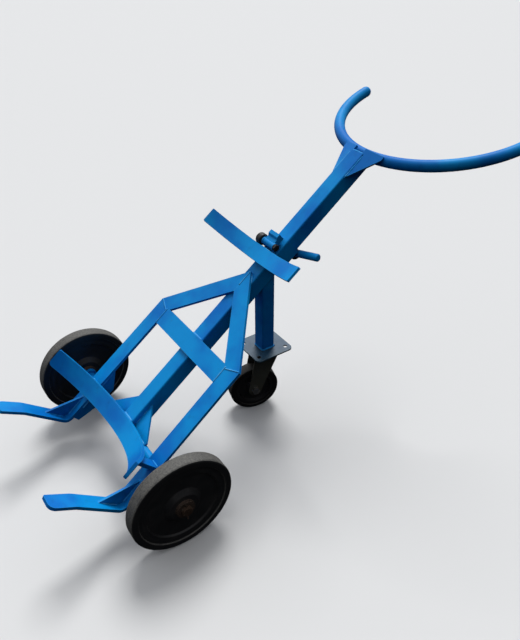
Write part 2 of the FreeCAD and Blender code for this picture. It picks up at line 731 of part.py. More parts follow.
def add_caster_plate():
    plate_low, crown_top, _, _ = caster_levels()
    plate = box(-PLATE_X / 2, PLATE_X / 2, LEG_Y - PLATE_Y / 2, LEG_Y + PLATE_Y / 2,
                plate_low, CASTER_HEIGHT)
    plate = round_edges_along(plate, V(0, 0, 1), PLATE_CORNER)
    for x in (-PLATE_HOLE_X / 2, PLATE_HOLE_X / 2):
        for y in (-PLATE_HOLE_Y / 2, PLATE_HOLE_Y / 2):
            plate = plate.cut(cylinder_z(PLATE_HOLE_RADIUS, plate_low - 1, CASTER_HEIGHT + 1,
                                         x, LEG_Y + y))
    kingpin = KINGPIN_DIAMETER / 2
    nodes["caster_plate"] = plate.cut(cylinder_z(kingpin, plate_low - 1, CASTER_HEIGHT + 1,
                                                 0, LEG_Y))
    ball_z = (plate_low + crown_top) / 2
    race = ring_z(CROWN_DIAMETER / 2 - RACE_INSET, kingpin + RACE_BORE_GAP, ball_z, plate_low,
                  0, LEG_Y)
    nodes["caster_upper_race"] = race.cut(ball_groove(LEG_Y))
    balls = []
    for i in range(CASTER_BALL_COUNT):
        angle = 2 * math.pi * i / CASTER_BALL_COUNT
        x = ball_circle() * math.cos(angle)
        y = LEG_Y + ball_circle() * math.sin(angle)
        balls.append(Part.makeSphere(CASTER_BALL_RADIUS, V(x, y, ball_z)))
    nodes["caster_balls"] = Part.makeCompound(balls)


def add_kingpin():
    _, _, crown_low, cup_low = caster_levels()
    radius = KINGPIN_DIAMETER / 2
    nut_low = cup_low - KINGPIN_NUT_HEIGHT
    nodes["kingpin"] = cylinder_z(radius, nut_low - KINGPIN_END, CASTER_HEIGHT, 0, LEG_Y)
    nut = hexagon_z(KINGPIN_NUT_ACROSS, nut_low, cup_low, 0, LEG_Y)
    nodes["kingpin_nut"] = nut.cut(cylinder_z(radius, nut_low - 1, cup_low + 1, 0, LEG_Y))
    nodes["caster_lower_race"] = ring_z(radius + LOWER_RACE_WIDTH, radius, cup_low,
                                        crown_low - FACE_GAP, 0, LEG_Y)


def fork_leg(x0, x1):
    """Tapering side of the fork, in axes where y = 0 is the kingpin and -y is the trail."""
    _, _, crown_low, _ = caster_levels()
    boss = FORK_BOSS_RADIUS
    half = CROWN_DIAMETER / 2 - FORK_TOP_INSET
    top = [V(x0, half, crown_low), V(x0, -half, crown_low)]
    low_back = V(x0, -CASTER_TRAIL - boss, CASTER_RADIUS)
    low_front = V(x0, -CASTER_TRAIL + boss, CASTER_RADIUS)
    bottom = V(x0, -CASTER_TRAIL, CASTER_RADIUS - boss)
    edges = [Part.LineSegment(top[0], top[1]).toShape(),
             Part.LineSegment(top[1], low_back).toShape(),
             Part.Arc(low_back, bottom, low_front).toShape(),
             Part.LineSegment(low_front, top[0]).toShape()]
    return Part.Face(Part.Wire(edges)).extrude(V(x1 - x0, 0, 0))


def turned_caster(shape):
    """Caster axes to truck axes: the fork stands slightly turned about the kingpin."""
    moved = shape.copy()
    moved.rotate(V(0, 0, 0), V(0, 0, 1), -CASTER_REST_TURN)
    moved.translate(V(0, LEG_Y, 0))
    return moved


def fork_inner():
    return CASTER_WHEEL_WIDTH / 2 + FORK_GAP


def add_fork():
    _, crown_top, crown_low, _ = caster_levels()
    inner = fork_inner()
    outer = inner + FORK_THICKNESS
    kingpin = KINGPIN_DIAMETER / 2
    crown = cylinder_z(CROWN_DIAMETER / 2, crown_low, crown_top)
    fork = crown.fuse([fork_leg(inner, outer), fork_leg(-outer, -inner)]).removeSplitter()
    bolt = cylinder_x(CASTER_BOLT_DIAMETER / 2, -2 * outer, 2 * outer,
                      -CASTER_TRAIL, CASTER_RADIUS)
    fork = fork.cut(bolt).cut(cylinder_z(kingpin + RUN, crown_low - 1, crown_top + 1))
    nodes["caster_fork"] = turned_caster(fork.cut(ball_groove(0)))


def add_caster_axle():
    inner = fork_inner()
    outer = inner + FORK_THICKNESS
    y = -CASTER_TRAIL
    z = CASTER_RADIUS
    bolt = CASTER_BOLT_DIAMETER / 2
    nut_end = -outer - CASTER_NUT_HEIGHT
    shank = cylinder_x(bolt, nut_end - CASTER_BOLT_END, outer, y, z)
    head = hexagon_x(CASTER_NUT_ACROSS, outer, outer + CASTER_HEAD_HEIGHT, y, z)
    nut = hexagon_x(CASTER_NUT_ACROSS, nut_end, -outer, y, z)
    nodes["caster_axle_bolt"] = turned_caster(shank.fuse(head).removeSplitter())
    nodes["caster_axle_nut"] = turned_caster(
        nut.cut(cylinder_x(bolt, -2 * outer, 0, y, z)))
    nodes["caster_spacer"] = turned_caster(
        ring_x(CASTER_SPACER_DIAMETER / 2, bolt, -inner, inner, y, z))


def add_caster_wheel():
    half_hub = fork_inner() - 2 * SIDE_GAP
    seat = CASTER_RADIUS - CASTER_TYRE_DEPTH
    bush = CASTER_BUSH_DIAMETER / 2
    middle = V(0, -CASTER_TRAIL, CASTER_RADIUS)
    face = CASTER_WHEEL_WIDTH / 2 - CASTER_RIDGE
    lip = seat - CASTER_RIM_LIP
    boss = bush + CASTER_BOSS_WALL
    boss_face = half_hub - CASTER_BOSS_RECESS
    half = [(face, seat), (face, lip), (CASTER_WEB_HALF, lip - CASTER_RIM_SLOPE),
            (CASTER_WEB_HALF, boss + CASTER_BOSS_SLOPE), (boss_face, boss), (boss_face, bush)]
    core = turned_about_x(half + [(-x, r) for x, r in reversed(half)])
    pieces = {
        "caster_tyre": tyre(CASTER_RADIUS, CASTER_WHEEL_WIDTH, seat, CASTER_SHOULDER, CASTER_RIDGE),
        "caster_core": core,
        "caster_bush": ring_x(bush, CASTER_SPACER_DIAMETER / 2 + RUN, -half_hub, half_hub),
    }
    for name, piece in pieces.items():
        piece.translate(middle)
        nodes[name] = turned_caster(piece)


# ---- sliding catch ----------------------------------------------------------------

def sleeve_high_s():
    return SLEEVE_LOW_S + SLEEVE_LENGTH


def add_sleeve():
    """Square sleeve whose back wall runs on as a tongue that holds the clamp screw."""
    inner = SPINE_HALF + SLEEVE_GAP
    outer = inner + SLEEVE_WALL
    middle = -SPINE_HALF
    block = box(-outer, outer, SLEEVE_LOW_S, sleeve_high_s(), middle - outer, middle + outer)
    block = round_edges_along(block, V(0, 1, 0), SLEEVE_WALL)
    half_tongue = TONGUE_WIDTH / 2
    tongue = box(-half_tongue, half_tongue, SCREW_S - half_tongue, SCREW_S,
                 middle - outer, middle - inner)
    tip = cylinder_z(half_tongue, middle - outer, middle - inner, 0, SCREW_S)
    block = block.fuse([tongue, tip]).removeSplitter()
    hollow = box(-inner, inner, SLEEVE_LOW_S - 1, SCREW_S + outer, middle - inner, middle + inner)
    hollow = round_edges_along(hollow, V(0, 1, 0), SPINE_CORNER - 1)
    screw = cylinder_z(SCREW_DIAMETER / 2 + RUN, middle - 2 * outer, middle, 0, SCREW_S)
    nodes["catch_sleeve"] = from_deck(block.cut(hollow).cut(screw))
    boss = ring_z(BOSS_DIAMETER / 2, SCREW_DIAMETER / 2 + RUN, middle - outer - BOSS_LENGTH,
                  middle - outer, 0, SCREW_S)
    nodes["clamp_boss"] = from_deck(boss)


def sleeve_face_n():
    return SLEEVE_GAP + SLEEVE_WALL


def add_catch_plate():
    plate = curved_flat(CATCH_RADIUS, CATCH_THICKNESS, CATCH_HALF_WIDTH, CATCH_FACE_N,
                        CATCH_LOW_S, CATCH_LOW_S + CATCH_WIDTH, (CATCH_CORNER, CATCH_CORNER))
    nodes["catch_plate"] = from_deck(plate)
    half = SPACER_WIDTH / 2
    block = box(-half, half, SLEEVE_LOW_S, CATCH_LOW_S + CATCH_WIDTH, sleeve_face_n(),
                CATCH_FACE_N)
    behind = Part.makeCylinder(CATCH_RADIUS + CATCH_THICKNESS, 4 * CATCH_WIDTH,
                               V(0, CATCH_LOW_S - CATCH_WIDTH, CATCH_FACE_N + CATCH_RADIUS),
                               V(0, 1, 0))
    nodes["catch_spacer"] = from_deck(block.cut(behind))


def add_hook_ears():
    inner = HOOK_WIDTH / 2 + SIDE_GAP
    ears = []
    base = sleeve_face_n()
    for x0, x1 in ((inner, inner + EAR_THICKNESS), (-inner - EAR_THICKNESS, -inner)):
        block = box(x0, x1, PIVOT_S - EAR_RADIUS, PIVOT_S + EAR_RADIUS, base, PIVOT_N)
        ear = block.fuse(cylinder_x(EAR_RADIUS, x0, x1, PIVOT_S, PIVOT_N)).removeSplitter()
        ears.append(ear.cut(cylinder_x(PIVOT_DIAMETER / 2, x0 - 1, x1 + 1, PIVOT_S, PIVOT_N)))
    nodes["hook_ears"] = from_deck(Part.makeCompound(ears))


def add_hook():
    """Barrel on the pivot with an arm whose nose drops over the drum's rim when swung forward."""
    half = HOOK_WIDTH / 2
    barrel_radius = EAR_RADIUS - BARREL_INSET
    arm = [(PIVOT_S, HOOK_LOW_N), (HOOK_TIP_S, HOOK_LOW_N), (HOOK_TIP_S, HOOK_FACE_N + HOOK_LIP),
           (HOOK_TIP_S - HOOK_LIP_LENGTH, HOOK_FACE_N + HOOK_LIP),
           (HOOK_TIP_S - HOOK_LIP_LENGTH - HOOK_LIP, HOOK_FACE_N), (PIVOT_S, HOOK_FACE_N)]
    barrel = cylinder_x(barrel_radius, -half, half, PIVOT_S, PIVOT_N)
    hook = barrel.fuse(side_plate(arm, -half, half)).removeSplitter()
    hook = hook.cut(cylinder_x(PIVOT_DIAMETER / 2 + RUN, -half - 1, half + 1, PIVOT_S, PIVOT_N))
    nodes["chime_hook"] = from_deck(hook)


def add_pivot_bolt():
    """Bolt through both ears, with a round black cap over its head."""
    outer = HOOK_WIDTH / 2 + SIDE_GAP + EAR_THICKNESS
    washer = PIVOT_WASHER_THICKNESS
    nut_length = PIVOT_NUT_HEIGHT
    radius = PIVOT_DIAMETER / 2
    shank = cylinder_x(radius, -outer - washer, outer + washer + nut_length + 1,
                       PIVOT_S, PIVOT_N)
    head = hexagon_x(PIVOT_HEAD_ACROSS, -outer - washer - PIVOT_HEAD_HEIGHT, -outer - washer,
                     PIVOT_S, PIVOT_N)
    bolt = shank.fuse(head).removeSplitter()
    nodes["pivot_bolt"] = from_deck(bolt)
    nut = hexagon_x(PIVOT_NUT_ACROSS, outer + washer, outer + washer + nut_length,
                    PIVOT_S, PIVOT_N)
    nodes["pivot_nut"] = from_deck(nut.cut(cylinder_x(radius, outer, 2 * outer, PIVOT_S, PIVOT_N)))
    disc = ring_x(EAR_RADIUS - BARREL_INSET, radius, outer, outer + washer, PIVOT_S, PIVOT_N)
    nodes["pivot_washers"] = from_deck(Part.makeCompound([disc, mirrored(disc)]))
    cap = cylinder_x(KNOB_DIAMETER / 2, -outer - washer - KNOB_LENGTH, -outer - washer,
                     PIVOT_S, PIVOT_N)
    rims = [edge for edge in cap.Edges if edge.Curve.TypeId == "Part::GeomCircle"]
    nodes["pivot_cap"] = from_deck(cap.makeFillet(KNOB_ROUND, rims).cut(bolt))


def add_clamp_screw():
    """Screw through the back of the sleeve, with a bar handle across its head."""
    back = -SPINE_SIZE - SLEEVE_GAP - SLEEVE_WALL
    head_top = back - BOSS_LENGTH - SIDE_GAP
    tip = -SPINE_SIZE - FACE_GAP
    screw = cylinder_z(SCREW_DIAMETER / 2, head_top - 1, tip, 0, SCREW_S)
    head = cylinder_z(SCREW_HEAD_DIAMETER / 2, head_top - SCREW_HEAD_LENGTH, head_top,
                      0, SCREW_S)
    bar_n = head_top - SCREW_HEAD_LENGTH / 2
    turn = math.radians(BAR_TURN)
    along = V(math.cos(turn), math.sin(turn), 0)
    centre = V(0, SCREW_S, bar_n)
    bar = Part.makeCylinder(BAR_DIAMETER / 2, 2 * BAR_HALF_LENGTH,
                            centre - along * BAR_HALF_LENGTH, along)
    rims = [edge for edge in bar.Edges if edge.Curve.TypeId == "Part::GeomCircle"]
    bar = bar.makeFillet(BAR_ROUND, rims)
    body = screw.fuse(head).cut(Part.makeCylinder(BAR_DIAMETER / 2, 4 * BAR_HALF_LENGTH,
                                                  centre - along * 2 * BAR_HALF_LENGTH, along))
    nodes["clamp_screw"] = from_deck(body)
    nodes["clamp_bar"] = from_deck(bar)


# ---- the whole truck --------------------------------------------------------------

def build():
    add_spine()
    member = add_side_members()
    diagonal = add_diagonals()
    add_crossbar(member, diagonal)
    add_toe_gussets(member)
    add_axle_brackets()
    add_saddle()
    add_saddle_stays()
    add_lower_gussets()
    add_bow()
    add_upper_gussets()
    add_axle()
    add_main_wheels()
    add_rear_leg()
    add_caster_plate()
    add_kingpin()
    add_fork()
    add_caster_axle()
    add_caster_wheel()
    add_sleeve()
    add_catch_plate()
    add_hook_ears()
    add_hook()
    add_pivot_bolt()
    add_clamp_screw()


def write():
    whole = Part.makeCompound(list(nodes.values())).BoundBox
    to_origin = V(0, -(whole.YMin + whole.YMax) / 2, -whole.ZMin)
    os.makedirs("parts", exist_ok=True)
    for name, shape in nodes.items():
        placed = shape.copy()
        placed.translate(to_origin)
        placed.exportStep("parts/" + name + ".step")
    print(len(nodes), "nodes, moved to the origin by", to_origin)


build()
write()
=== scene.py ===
"""Looks for the drum truck: worn azure paint, dusty rubber, rusty hubs and weld beads."""

import json
import math
import random

import bpy
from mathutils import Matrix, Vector


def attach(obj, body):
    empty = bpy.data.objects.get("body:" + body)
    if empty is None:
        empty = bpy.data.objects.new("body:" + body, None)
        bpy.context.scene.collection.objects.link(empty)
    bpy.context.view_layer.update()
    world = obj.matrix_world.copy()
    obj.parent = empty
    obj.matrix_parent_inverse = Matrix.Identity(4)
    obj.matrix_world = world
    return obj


SEED = 7
MM = 0.001

# Dimensions of the CAD part, in metres and radians
LEAN = math.radians(37.5)
AXLE_Y = -0.370735
WHEEL_RADIUS = 0.125
SPINE_HALF = 0.0225
LEG_Y = 0.42 + AXLE_Y
LEG_HALF = 0.019
CASTER_PLATE_TOP = 0.205
CASTER_REST_TURN = math.radians(15)
BARE_FROM = 0.252               # the axle is bare from the hubs outwards
BARE_BLEND = 0.004              # width over which the paint ends

# Sizes on the leaning deck, in mm
FLAT = 8                        # thickness of the frame's flat bar
SPINE_SIDE = 22.5
SPINE_BACK = -45
SPINE_TOP = 905
CROSSBAR_LOW = 240
CROSSBAR_HIGH = 290
HEEL = -109                     # weld line in the corner between a side member and its toe
TOE_DROOP = math.tan(math.radians(12))
TOE_GUSSET_X = 174.5
TOE_GUSSET_SEAM = 3.5           # seam's distance from the gusset's middle
SCREW_BOSS_S = 613

# Camera: high at the front right, looking down across the deck
CAMERA_PLACE = (1.1302, -0.3639 + AXLE_Y, 1.2554)
CAMERA_TURN = (54.885, 0.182, 55.616)
CAMERA_LENS = 35.3
CAMERA_CLIP = 0.01

# Studio light: a broad key from above, behind and the left
KEY_FROM = (-0.42, 0.34, 0.84)
KEY_SPREAD = 25.0               # degrees, so that shadows are soft
KEY_POWER = 2.3
SKY_FROM = (-0.45, 0.10, 0.89)
SKY_FADE = (-0.15, 0.95)        # from fully dark to fully pale, as a cosine to SKY_FROM
SKY_DARK = (0.012, 0.013, 0.015, 1)
SKY_PALE = (0.78, 0.80, 0.84, 1)
BACKDROP = (0.80, 0.80, 0.80, 1)
FLOOR_SIZE = 60
FLOOR_COLOUR = (0.66, 0.66, 0.655, 1)
FLOOR_ROUGHNESS = 0.9

# Noise scales, in waves per metre: a larger number is a finer grain
PAINT_PATCHES = 7.0
PAINT_MOTTLE = 55.0
PAINT_CHIPS = 130.0
PAINT_PEEL = 420.0
PAINT_RUNS = (60.0, 60.0, 9.0)
RUBBER_SCUFFS = 18.0
RUBBER_GRAIN = 260.0
RUBBER_SPECKS = 700.0
RUST_PATCHES = 90.0
RUST_GRAIN = 600.0
PLASTIC_PATCHES = 28.0
PLASTIC_GRAIN = 500.0
PLASTIC_SCRATCHES = (40.0, 300.0, 40.0)
SCRATCH_TURN = (0.4, 0.0, 0.9)

# How far edge wear and the paint's painted edge highlight, the paint's painted corner shade with
# grime, and the plastic's corner dust reach, in metres
PAINT_EDGE = 0.0022
RUBBER_EDGE = 0.003
PAINT_CORNER = 0.03
PLASTIC_CORNER = 0.012
EDGE_SAMPLES = 4
CORNER_SAMPLES = 6
RELIEF_DEPTH = 0.0004

rng = random.Random(SEED)


# ---- node helpers -----------------------------------------------------------------

class Tree:
    """Small wrapper that adds and links shader nodes."""

    def __init__(self, tree):
        self.tree = tree

    def add(self, kind, values=None, **settings):
        node = self.tree.nodes.new(kind)
        for key, value in settings.items():
            setattr(node, key, value)
        for key, value in (values or {}).items():
            node.inputs[key].default_value = value
        return node

    def link(self, source, target):
        self.tree.links.new(source, target)

    def feed(self, value, socket):
        """Give a socket a plain value, or link another socket to it."""
        if isinstance(value, (int, float, tuple)):
            socket.default_value = value
        else:
            self.link(value, socket)

    def math(self, operation, *values, clamp=False):
        node = self.add("ShaderNodeMath", operation=operation, use_clamp=clamp)
        for socket, value in zip(node.inputs, values):
            self.feed(value, socket)
        return node.outputs[0]

    def layered(self, start, *layers, clamp=True):
        """A number plus every (mask, weight) pair, held between 0 and 1 if clamped."""
        total = start
        for mask, weight in layers:
            total = self.math("MULTIPLY_ADD", mask, weight, total)
        total.node.use_clamp = clamp
        return total

    def mix(self, factor, a, b):
        """Blend two colours."""
        node = self.add("ShaderNodeMix", data_type="RGBA")
        for socket, value in ((node.inputs[0], factor), (node.inputs[6], a), (node.inputs[7], b)):
            self.feed(value, socket)
        return node.outputs[2]

    def mix_value(self, factor, a, b):
        """Blend two numbers."""
        node = self.add("ShaderNodeMix", data_type="FLOAT")
        for socket, value in ((node.inputs[0], factor), (node.inputs[2], a), (node.inputs[3], b)):
            self.feed(value, socket)
        return node.outputs[0]

    def dot(self, a, b):
        node = self.add("ShaderNodeVectorMath", operation="DOT_PRODUCT")
        self.feed(a, node.inputs[0])
        self.feed(b, node.inputs[1])
        return node.outputs["Value"]

    def noise(self, place, scale, detail, rough=0.55):
        node = self.add("ShaderNodeTexNoise",
                        {"Scale": scale, "Detail": detail, "Roughness": rough})
        self.link(place, node.inputs["Vector"])
        return node.outputs["Fac"]

    def stretched_noise(self, place, stretch, detail, turn=(0.0, 0.0, 0.0)):
        """Noise that is longer in one direction, for runs and scratches."""
        mapping = self.add("ShaderNodeMapping", {"Scale": stretch, "Rotation": turn})
        self.link(place, mapping.inputs["Vector"])
        return self.noise(mapping.outputs["Vector"], 1.0, detail)

    def band(self, value, low, high):
        """0 below low, 1 above high, smooth between."""
        node = self.add("ShaderNodeMapRange", {"From Min": low, "From Max": high},
                        interpolation_type="SMOOTHSTEP")
        self.link(value, node.inputs["Value"])
        return node.outputs["Result"]

    def edges(self, radius, low, high):
        """Strong where the surface turns sharply."""
        bevel = self.add("ShaderNodeBevel", {"Radius": radius}, samples=EDGE_SAMPLES)
        true = self.add("ShaderNodeNewGeometry")
        flatness = self.dot(bevel.outputs["Normal"], true.outputs["Normal"])
        return self.band(self.math("SUBTRACT", 1.0, flatness), low, high)

    def corners(self, distance):
        """Strong where other surfaces are close."""
        closed = self.add("ShaderNodeAmbientOcclusion", {"Distance": distance},
                          samples=CORNER_SAMPLES)
        return self.math("SUBTRACT", 1.0, closed.outputs["AO"])


def new_group(name, inputs, outputs):
    group = bpy.data.node_groups.new(name, "ShaderNodeTree")
    for label, kind, default in inputs:
        socket = group.interface.new_socket(label, in_out="INPUT", socket_type=kind)
        socket.default_value = default
    for label, kind in outputs:
        group.interface.new_socket(label, in_out="OUTPUT", socket_type=kind)
    tree = Tree(group)
    return group, tree, tree.add("NodeGroupInput").outputs, tree.add("NodeGroupOutput").inputs


FLOAT, COLOR, VECTOR = "NodeSocketFloat", "NodeSocketColor", "NodeSocketVector"
SURFACE_OUTPUTS = [("Base Color", COLOR), ("Roughness", FLOAT), ("Bump Height", FLOAT)]


def worn_paint_group():
    """Enamel that fades in patches and chips at its edges, with a painted highlight along its edges,
    painted shade and grime in its corners, and dark streaks.
    """
    group, tree, given, out = new_group("Worn Paint", [
        ("Paint", COLOR, (0.0, 0.2, 0.6, 1)), ("Faded", COLOR, (0.02, 0.3, 0.7, 1)),
        ("Chip", COLOR, (0.1, 0.09, 0.08, 1)), ("Shade And Grime", COLOR, (0.03, 0.03, 0.03, 1)),
        ("Edge Highlight", COLOR, (0.05, 0.4, 0.8, 1)),
        ("Chip Amount", FLOAT, 0.5), ("Shade And Grime Amount", FLOAT, 0.5)],
        SURFACE_OUTPUTS + [("Coat Weight", FLOAT)])
    place = tree.add("ShaderNodeTexCoord").outputs["Object"]
    patches = tree.noise(place, PAINT_PATCHES, 3.0)
    mottle = tree.noise(place, PAINT_MOTTLE, 5.0, 0.65)
    peel = tree.noise(place, PAINT_PEEL, 3.0)

    colour = tree.mix(tree.band(patches, 0.34, 0.62), given["Paint"], given["Faded"])
    edges = tree.edges(PAINT_EDGE, 0.02, 0.22)
    # Painted highlight: a lighter colour mixed in along sharp edges, where light would catch them.
    colour = tree.mix(tree.math("MULTIPLY", edges, 0.85), colour, given["Edge Highlight"])

    worn = tree.math("MULTIPLY", edges, tree.band(mottle, 0.47, 0.58))
    spots = tree.band(tree.noise(place, PAINT_CHIPS, 6.0, 0.7), 0.665, 0.70)
    chips = tree.math("MAXIMUM", tree.math("MULTIPLY", worn, 0.9), tree.math("MULTIPLY", spots, 0.8))
    chips = tree.math("MULTIPLY", chips, given["Chip Amount"], clamp=True)

    # Painted shade: the corner colour is mixed in where other surfaces are close, together with
    # grime; the same colour also runs in streaks.
    corner_shade_and_grime = tree.math("MULTIPLY", tree.corners(PAINT_CORNER), tree.band(mottle, 0.3, 0.7))
    corner_shade_and_grime = tree.math("MULTIPLY", corner_shade_and_grime, given["Shade And Grime Amount"], clamp=True)
    runs = tree.band(tree.stretched_noise(place, PAINT_RUNS, 4.0), 0.55, 0.8)
    smear = tree.math("MULTIPLY", runs, tree.math("MULTIPLY", given["Shade And Grime Amount"], 0.22))
    colour = tree.mix(tree.math("MAXIMUM", corner_shade_and_grime, smear), colour, given["Shade And Grime"])

    tree.link(tree.mix(chips, colour, given["Chip"]), out["Base Color"])
    tree.link(tree.layered(0.36, (mottle, 0.22), (chips, 0.35), (corner_shade_and_grime, 0.25)), out["Roughness"])
    tree.link(tree.layered(0.0, (peel, 0.12), (mottle, 0.3), (chips, -0.5), clamp=False),
              out["Bump Height"])
    tree.link(tree.layered(0.05, (chips, -0.05)), out["Coat Weight"])
    return group


def dusty_rubber_group():
    """Black rubber, dusty on its tread, scuffed and specked on its sides."""
    group, tree, given, out = new_group("Dusty Rubber", [
        ("Rubber", COLOR, (0.01, 0.01, 0.01, 1)), ("Dust", COLOR, (0.16, 0.15, 0.13, 1)),
        ("Axle Direction", VECTOR, (1.0, 0.0, 0.0)), ("Tread Dust", FLOAT, 0.8),
        ("Side Dust", FLOAT, 0.15)], SURFACE_OUTPUTS)
    where = tree.add("ShaderNodeTexCoord")
    place = where.outputs["Object"]
    facing = tree.dot(where.outputs["Normal"], given["Axle Direction"])
    side = tree.band(tree.math("ABSOLUTE", facing), 0.45, 0.8)
    scuffs = tree.noise(place, RUBBER_SCUFFS, 5.0, 0.6)
    grain = tree.noise(place, RUBBER_GRAIN, 6.0, 0.7)
    specks = tree.band(tree.noise(place, RUBBER_SPECKS, 2.0), 0.66, 0.72)

    tread = tree.math("MULTIPLY", tree.band(grain, 0.2, 0.75), given["Tread Dust"])
    tread = tree.math("MULTIPLY", tread, tree.band(scuffs, 0.05, 0.5))
    smudges = tree.math("MULTIPLY", tree.band(scuffs, 0.42, 0.72), tree.band(grain, 0.35, 0.7))
    rims = tree.math("MULTIPLY", tree.edges(RUBBER_EDGE, 0.02, 0.3), tree.band(grain, 0.3, 0.6))
    face = tree.layered(0.0, (smudges, given["Side Dust"]), (specks, 0.12), (rims, 0.22),
                        clamp=False)
    dust = tree.mix_value(side, tread, face)

    tree.link(tree.mix(dust, given["Rubber"], given["Dust"]), out["Base Color"])
    tree.link(tree.layered(0.42, (grain, 0.25), (dust, 0.3)), out["Roughness"])
    tree.link(tree.layered(0.0, (grain, 0.6), (specks, 0.3), clamp=False), out["Bump Height"])
    return group


def rusty_steel_group():
    """Bare steel under patches of brown rust."""
    group, tree, given, out = new_group("Rusty Steel", [
        ("Steel", COLOR, (0.3, 0.29, 0.28, 1)), ("Rust", COLOR, (0.14, 0.05, 0.02, 1)),
        ("Pale Rust", COLOR, (0.3, 0.17, 0.09, 1)), ("Rust Amount", FLOAT, 0.7)],
        SURFACE_OUTPUTS + [("Metallic", FLOAT)])
    place = tree.add("ShaderNodeTexCoord").outputs["Object"]
    patches = tree.noise(place, RUST_PATCHES, 6.0, 0.7)
    grain = tree.noise(place, RUST_GRAIN, 4.0, 0.7)
    spread = tree.math("MULTIPLY_ADD", given["Rust Amount"], 0.5, patches)
    rust = tree.band(spread, 0.55, 0.85)
    brown = tree.mix(tree.band(grain, 0.35, 0.7), given["Rust"], given["Pale Rust"])

    tree.link(tree.mix(rust, given["Steel"], brown), out["Base Color"])
    tree.link(tree.layered(0.32, (rust, 0.45), (grain, 0.15)), out["Roughness"])
    tree.link(tree.math("SUBTRACT", 1.0, rust, clamp=True), out["Metallic"])
    tree.link(tree.layered(0.0, (grain, 1.0), (rust, 0.6), clamp=False), out["Bump Height"])
    return group


def moulded_group():
    """Moulded plastic with dust in its corners and fine scratches."""
    group, tree, given, out = new_group("Moulded Plastic", [
        ("Body", COLOR, (0.012, 0.012, 0.014, 1)), ("Dust", COLOR, (0.12, 0.11, 0.1, 1)),
        ("Dust Amount", FLOAT, 0.3)], SURFACE_OUTPUTS)
    place = tree.add("ShaderNodeTexCoord").outputs["Object"]
    patches = tree.band(tree.noise(place, PLASTIC_PATCHES, 5.0, 0.62), 0.4, 0.75)
    grain = tree.noise(place, PLASTIC_GRAIN, 4.0, 0.6)
    lines = tree.stretched_noise(place, PLASTIC_SCRATCHES, 3.0, SCRATCH_TURN)
    scratches = tree.band(lines, 0.66, 0.72)
    dust = tree.layered(0.0, (patches, 1.0), (tree.corners(PLASTIC_CORNER), 1.4),
                        (scratches, 0.6), clamp=False)
    dust = tree.math("MULTIPLY", dust, given["Dust Amount"], clamp=True)

    tree.link(tree.mix(dust, given["Body"], given["Dust"]), out["Base Color"])
    tree.link(tree.layered(0.38, (dust, 0.35), (grain, 0.12)), out["Roughness"])
    tree.link(tree.layered(0.0, (grain, 1.0), (scratches, -0.6), clamp=False),
              out["Bump Height"])
    return group


# ---- finishes ---------------------------------------------------------------------

SATIN = {"Specular IOR Level": 0.11, "Coat Roughness": 0.35}
MATT = {"Specular IOR Level": 0.4}

# The edge colour is a painted highlight along sharp edges; the dark navy corner colour is painted
# shade.
BLUE_ENAMEL = {
    "Paint": (0.0, 0.158, 0.56, 1), "Faded": (0.0, 0.28, 0.70, 1), "Edge Highlight": (0.03, 0.36, 0.74, 1),
    "Chip": (0.07, 0.06, 0.055, 1), "Shade And Grime": (0.004, 0.018, 0.045, 1),
    "Chip Amount": 0.5, "Shade And Grime Amount": 0.75}
# Painted highlight: the weld beads are a paler, brighter blue than the frame's enamel, standing in
# for light on the seams.
BLUE_WELD_HIGHLIGHT = {
    "Paint": (0.01, 0.27, 0.70, 1), "Faded": (0.08, 0.40, 0.76, 1), "Edge Highlight": (0.10, 0.45, 0.78, 1),
    "Chip": (0.09, 0.08, 0.07, 1), "Shade And Grime": (0.006, 0.03, 0.07, 1),
    "Chip Amount": 0.3, "Shade And Grime Amount": 0.3}
# In these finishes too the edge colour is a painted highlight; the corner colour is grime, and
# painted shade where it is darker than the paint.
OVERSPRAY = {
    "Paint": (0.006, 0.050, 0.10, 1), "Faded": (0.030, 0.085, 0.12, 1),
    "Edge Highlight": (0.05, 0.11, 0.14, 1),
    "Chip": (0.16, 0.10, 0.055, 1), "Shade And Grime": (0.03, 0.024, 0.018, 1),
    "Chip Amount": 0.95, "Shade And Grime Amount": 0.8}
DULL_STEEL = {
    "Paint": (0.050, 0.050, 0.040, 1), "Faded": (0.085, 0.085, 0.066, 1),
    "Edge Highlight": (0.06, 0.055, 0.045, 1),
    "Chip": (0.12, 0.08, 0.05, 1), "Shade And Grime": (0.012, 0.011, 0.010, 1),
    "Chip Amount": 0.9, "Shade And Grime Amount": 0.9}
BLACK_OXIDE = {
    "Paint": (0.006, 0.006, 0.007, 1), "Faded": (0.014, 0.014, 0.016, 1),
    "Edge Highlight": (0.05, 0.048, 0.045, 1),
    "Chip": (0.10, 0.09, 0.08, 1), "Shade And Grime": (0.02, 0.018, 0.015, 1),
    "Chip Amount": 0.5, "Shade And Grime Amount": 0.5}
TYRE_RUBBER = {
    "Rubber": (0.015, 0.0155, 0.017, 1), "Dust": (0.17, 0.165, 0.15, 1),
    "Tread Dust": 0.95, "Side Dust": 0.09}
CASTER_RUBBER = {
    "Rubber": (0.006, 0.006, 0.006, 1), "Dust": (0.13, 0.12, 0.10, 1),
    "Axle Direction": (math.cos(CASTER_REST_TURN), -math.sin(CASTER_REST_TURN), 0.0),
    "Tread Dust": 0.35, "Side Dust": 0.08}
HUB_RUST = {
    "Steel": (0.16, 0.14, 0.12, 1), "Rust": (0.022, 0.013, 0.009, 1),
    "Pale Rust": (0.10, 0.062, 0.042, 1), "Rust Amount": 0.8}
ZINC = {
    "Steel": (0.45, 0.45, 0.44, 1), "Rust": (0.12, 0.06, 0.03, 1),
    "Pale Rust": (0.28, 0.2, 0.12, 1), "Rust Amount": 0.1}
CORE_PLASTIC = {"Body": (0.016, 0.0165, 0.018, 1), "Dust Amount": 0.14}
